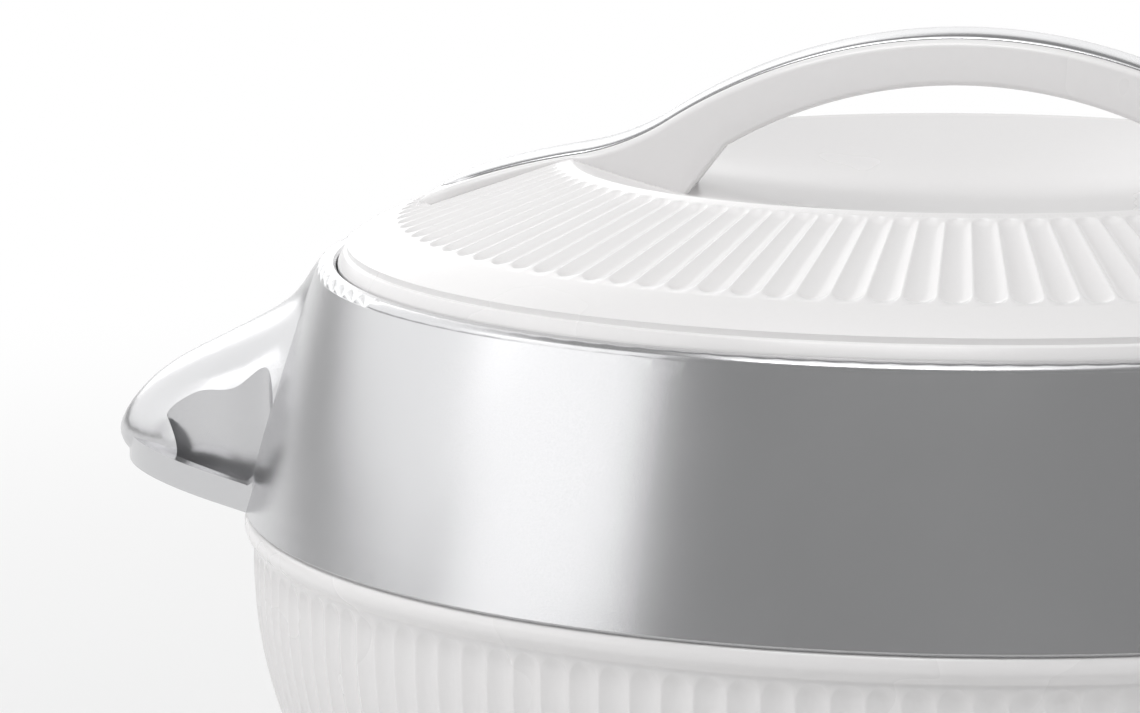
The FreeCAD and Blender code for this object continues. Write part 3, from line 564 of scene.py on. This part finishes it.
def strap_section(x, top, bottom, half, tray_half, tray_depth):
    """Closed loop of points round the strap at one x, from the middle of its tray round its +Y side."""
    edge = min(EDGE_ROUND, 0.45 * (top - bottom), 0.6 * half)
    low_edge = min(LOW_EDGE_ROUND, 0.3 * (top - bottom), 0.5 * half)
    tray = min(tray_half, max(0.0, half - 0.35 * edge))
    floor_z = top - tray_depth
    side = [(0, floor_z), (tray * 0.5, floor_z), (tray * 0.96, floor_z), (tray, top - tray_depth * 0.9),
            (tray, top - 0.12), (tray + TRAY_LIP_W, top - 0.02)]
    for turn in np.radians(np.linspace(90, 0, 7)):
        side.append((half - edge + edge * cos(turn), top - edge + edge * sin(turn)))
    side.append((half, (top + bottom) / 2))
    for turn in np.radians(np.linspace(0, -90, 5)):
        side.append((half - low_edge + low_edge * cos(turn), bottom + low_edge + low_edge * sin(turn)))
    side.append((0, bottom))
    loop = side + [(-y, z) for y, z in side[-2:0:-1]]
    return [(x, y, seam_z + z) for y, z in loop]


def strap_stations():
    inner = np.concatenate([np.linspace(0, 42, 43), np.linspace(42.4, 51.4, 31), np.linspace(52, 92, 54)])
    nose = strap_end_x - STRAP_NOSE * (1 - np.sin(np.linspace(0.05, pi / 2, 18)))
    half = np.unique(np.round(np.concatenate([inner, nose[nose > 92.5]]), 3))
    return np.concatenate([-half[::-1], half[1:]])


def bar_piece(name, loops, crisp):
    """A closed bar from loops of points, with a flat face at each end."""
    points = np.array(loops)
    count, columns = points.shape[:2]
    faces = grid_faces(count, columns, False, True)
    faces += [tuple(range(columns))[::-1], tuple((count - 1) * columns + column for column in range(columns))]
    return add_piece(name, points, faces, crisp)


def lid_handle():
    loops = []
    tray_w = inlay_half_w + TRAY_GAP
    tray_end_w = inlay_half_w * INLAY_END_SHARE + TRAY_GAP
    for x in strap_stations():
        half = max(0.05, half_width(x, STRAP_HALF, STRAP_END_HALF, strap_end_x, STRAP_NOSE))
        tray_half = half_width(x, tray_w, tray_end_w, inlay_end_x + TRAY_GAP, INLAY_NOSE)
        depth = TRAY_DEPTH if tray_half > 0.3 else 0.0
        top = float(strap_top(x))
        low = min(strap_bottom(x), top - THINNEST)
        loops.append(strap_section(x, top, low, half, max(tray_half, 0.05), depth))
    return bar_piece("bridge_handle", loops, 38)


settle(lid_handle(), "lid", "white_gloss", white_gloss, "lid_handle")

# %% [markdown]
# The silver strip is a long pad with a soft crown, tapered to a round tip at both ends. It stands a little
# proud of the tray, and the hair of space round it is what draws the fine dark line along its edge.

# %% Handle inlay
INLAY_EDGE_H = 0.05
CROWN_FULL = 1.15                     # the crown is full height before the strip is at full width
SQUARENESS, FLATNESS = 0.62, 0.9      # powers that make the section a soft box


def inlay_section(x):
    """Closed loop of points round the strip at one x."""
    half = max(0.04, half_width(x, inlay_half_w, inlay_half_w * INLAY_END_SHARE, inlay_end_x, INLAY_NOSE))
    top = float(strap_top(x))
    crown = inlay_proud * min(1.0, half / inlay_half_w * CROWN_FULL)
    loop = []
    for turn in np.radians(np.linspace(0, 180, 17)):
        y = half * np.sign(cos(turn)) * abs(cos(turn)) ** SQUARENESS
        z = top + INLAY_EDGE_H + (crown - INLAY_EDGE_H) * sin(turn) ** FLATNESS
        loop.append((x, y, seam_z + z))
    sunk_z = seam_z + top - TRAY_DEPTH * 0.8
    return loop + [(x, -half, sunk_z), (x, half, sunk_z)]


def inlay_stations():
    straight = np.linspace(0, inlay_end_x - 9.5, 90)
    nose = inlay_end_x - INLAY_NOSE * (1 - np.sin(np.linspace(0, pi / 2, 16)))
    half = np.unique(np.round(np.concatenate([straight, nose]), 3))
    return np.concatenate([-half[::-1], half[1:]])


def handle_inlay():
    return bar_piece("silver_inlay", [inlay_section(x) for x in inlay_stations()], 50)


settle(handle_inlay(), "lid", "silver_satin", silver_satin, "handle_inlay")

# %% [markdown]
# The pieces that the frame already shapes well keep their own meshes, and only get their finish. The largest
# is the collar with its two ears, which is one moulding: a horn falls from its top in a hollow curve, a low
# rim runs round the horn's foot, and a slot lies at each side. It could be built again as one grid, but the
# slots cut across such a grid, and the frame's mesh already has them clean. The others are the steel
# liners, seals, foam, base plate, feet, plugs, screws and washers.

# %% Finishes on the frame's own pieces
FINISHES = {"silver_satin": silver_satin, "stainless": steel_satin, "plated_steel": plated_steel,
            "foam": cream_foam, "soft_rubber": soft_rubber, "white_matte": white_matte,
            "plug_plastic": white_matte}
PALE_SEALS = ("lid_gasket", "rim_seal")
slots = {part["node"]: part["material_slot"] for part in frame["record"]["subparts"]}
for name, node in frame["nodes"].items():
    if slots[name] in FINISHES:
        node.data.materials.clear()
        node.data.materials.append(pale_rubber if name in PALE_SEALS else FINISHES[slots[name]])
        print(name, "finished as", node.data.materials[0].name)

# %% [markdown]
# The stage is a plain pale floor. Close to the casserole it is a real surface that takes a shadow. Further
# out it fades to clean white for the eye and for reflections, so the background of the picture is white
# without any more light on the casserole.

# %% Floor
FLOOR_SIZE = 14.0
FLOOR_GREY = 0.82
FADE_FROM, FADE_TO = 0.16, 0.75       # metres from the middle
LEAST_GLOW = 0.25


def distance_fade(nodes, links):
    """From a little to full with the distance from the middle."""
    place = nodes.new("ShaderNodeNewGeometry")
    length = nodes.new("ShaderNodeVectorMath")
    length.operation = "LENGTH"
    links.new(place.outputs["Position"], length.inputs[0])
    fade = nodes.new("ShaderNodeMapRange")
    fade.interpolation_type = "SMOOTHSTEP"
    fade.inputs["From Min"].default_value = FADE_FROM
    fade.inputs["From Max"].default_value = FADE_TO
    fade.inputs["To Min"].default_value = LEAST_GLOW
    links.new(length.outputs["Value"], fade.inputs["Value"])
    return fade.outputs["Result"]


def combined(nodes, links, operation, first, second):
    step = nodes.new("ShaderNodeMath")
    step.operation = operation
    links.new(first, step.inputs[0])
    links.new(second, step.inputs[1])
    return step.outputs["Value"]


def floor_material():
    material = bpy.data.materials.new("studio_floor")
    material.use_nodes = True
    nodes, links = material.node_tree.nodes, material.node_tree.links
    shader = nodes["Principled BSDF"]
    shader.inputs["Base Color"].default_value = (FLOOR_GREY, FLOOR_GREY, FLOOR_GREY, 1)
    shader.inputs["Roughness"].default_value = 0.75
    shader.inputs["Specular IOR Level"].default_value = 0.1
    path = nodes.new("ShaderNodeLightPath")
    seen = path.outputs["Is Camera Ray"]
    for other in ("Is Glossy Ray", "Is Transmission Ray"):
        seen = combined(nodes, links, "MAXIMUM", seen, path.outputs[other])
    amount = combined(nodes, links, "MULTIPLY", seen, distance_fade(nodes, links))
    mix = nodes.new("ShaderNodeMixShader")
    links.new(amount, mix.inputs["Fac"])
    links.new(shader.outputs["BSDF"], mix.inputs[1])
    links.new(nodes.new("ShaderNodeEmission").outputs["Emission"], mix.inputs[2])
    links.new(mix.outputs["Shader"], nodes["Material Output"].inputs["Surface"])
    return material


bpy.ops.mesh.primitive_plane_add(size=FLOOR_SIZE, location=(0, 0, 0))
floor = bpy.context.object
floor.name = "studio_floor"
floor.data.materials.append(floor_material())
print("floor", FLOOR_SIZE, "m wide")

# %% [markdown]
# Satin metal shows what stands round it, so the lamps are placed by what the collar mirrors in the picture.
# A clear panel at the left gives the bright field with a slanted edge. A wide dimmer screen behind it on the
# left gives the even pale part up to the ear. Nothing stands in front, which keeps the collar's front dark.
# A screen behind gives the pale top of the inlay and the lip. Two lamps above light the white plastic.

# %% Lights
WORLD_STRENGTH = 0.28

# Azimuth (0 in front, positive to +X), elevation, distance, width, height, roll and watts
LAMPS = {
    "lamp_above": (-10, 78, 1.3, 1.2, 1.2, 0, 4.8),
    "lamp_front_high": (-15, 56, 1.4, 0.8, 0.5, 0, 7.0),
    "panel_left": (-66, 20, 1.25, 0.75, 0.8, 20, 2.6),
    "screen_left": (-125, 25, 1.6, 2.8, 1.2, 0, 11.0),
    "screen_behind": (180, 14, 1.6, 2.6, 0.6, 0, 5.0),
    "lamp_right": (80, 25, 1.4, 0.7, 0.8, 0, 4.0),
}


def soft_lamp(name, azimuth, elevation, distance, width, height, roll, power):
    """A rectangular lamp that faces the lid, placed by its direction."""
    turn, rise = radians(azimuth), radians(elevation)
    target = Vector((0, 0, seam_z * MM))
    place = Vector((sin(turn) * cos(rise), -cos(turn) * cos(rise), sin(rise))) * distance + target
    lamp = bpy.data.lights.new(name, "AREA")
    lamp.shape = "RECTANGLE"
    lamp.size, lamp.size_y = width, height
    lamp.energy = power
    holder = bpy.data.objects.new(name, lamp)
    holder.location = place
    facing = (target - place).to_track_quat("-Z", "Y")
    holder.rotation_euler = (facing @ Quaternion((0, 0, 1), radians(roll))).to_euler()
    holder.visible_camera = False
    bpy.context.scene.collection.objects.link(holder)
    print(name, "at", [round(part, 2) for part in place])


for name, setting in LAMPS.items():
    soft_lamp(name, *setting)

world = bpy.data.worlds.new("studio")
bpy.context.scene.world = world
world.use_nodes = True
world.node_tree.nodes["Background"].inputs["Color"].default_value = (1, 1, 1, 1)
world.node_tree.nodes["Background"].inputs["Strength"].default_value = WORLD_STRENGTH

# %% [markdown]
# The camera stands a little to the right of the middle and looks down by about nine degrees with a long
# lens, as in a catalogue picture. The place and the lens come from the seam, the collar's lower edge and
# the flutes: three level circles at known heights leave only one camera that sees them so.

# %% Camera
CAMERA_AT = (65.6, -946.0, 139.2)     # millimetres from the middle of the lid seam
CAMERA_AIM = (-73.1, 0.0, -20.2)
LENS = 163.9
SENSOR_W = 36.0


def camera():
    seam = Vector((0, 0, seam_z))
    data = bpy.data.cameras.new("camera")
    data.sensor_width = SENSOR_W
    data.lens = LENS
    data.clip_start = 0.05
    holder = bpy.data.objects.new("camera", data)
    holder.location = (Vector(CAMERA_AT) + seam) * MM
    look = Vector(CAMERA_AIM) - Vector(CAMERA_AT)
    holder.rotation_euler = look.to_track_quat("-Z", "Y").to_euler()
    bpy.context.scene.collection.objects.link(holder)
    bpy.context.scene.camera = holder
    print("camera at", [round(part, 3) for part in holder.location])


camera()
bpy.context.scene.view_settings.view_transform = "Standard"

# %% [markdown]

# %% End of the script
import json
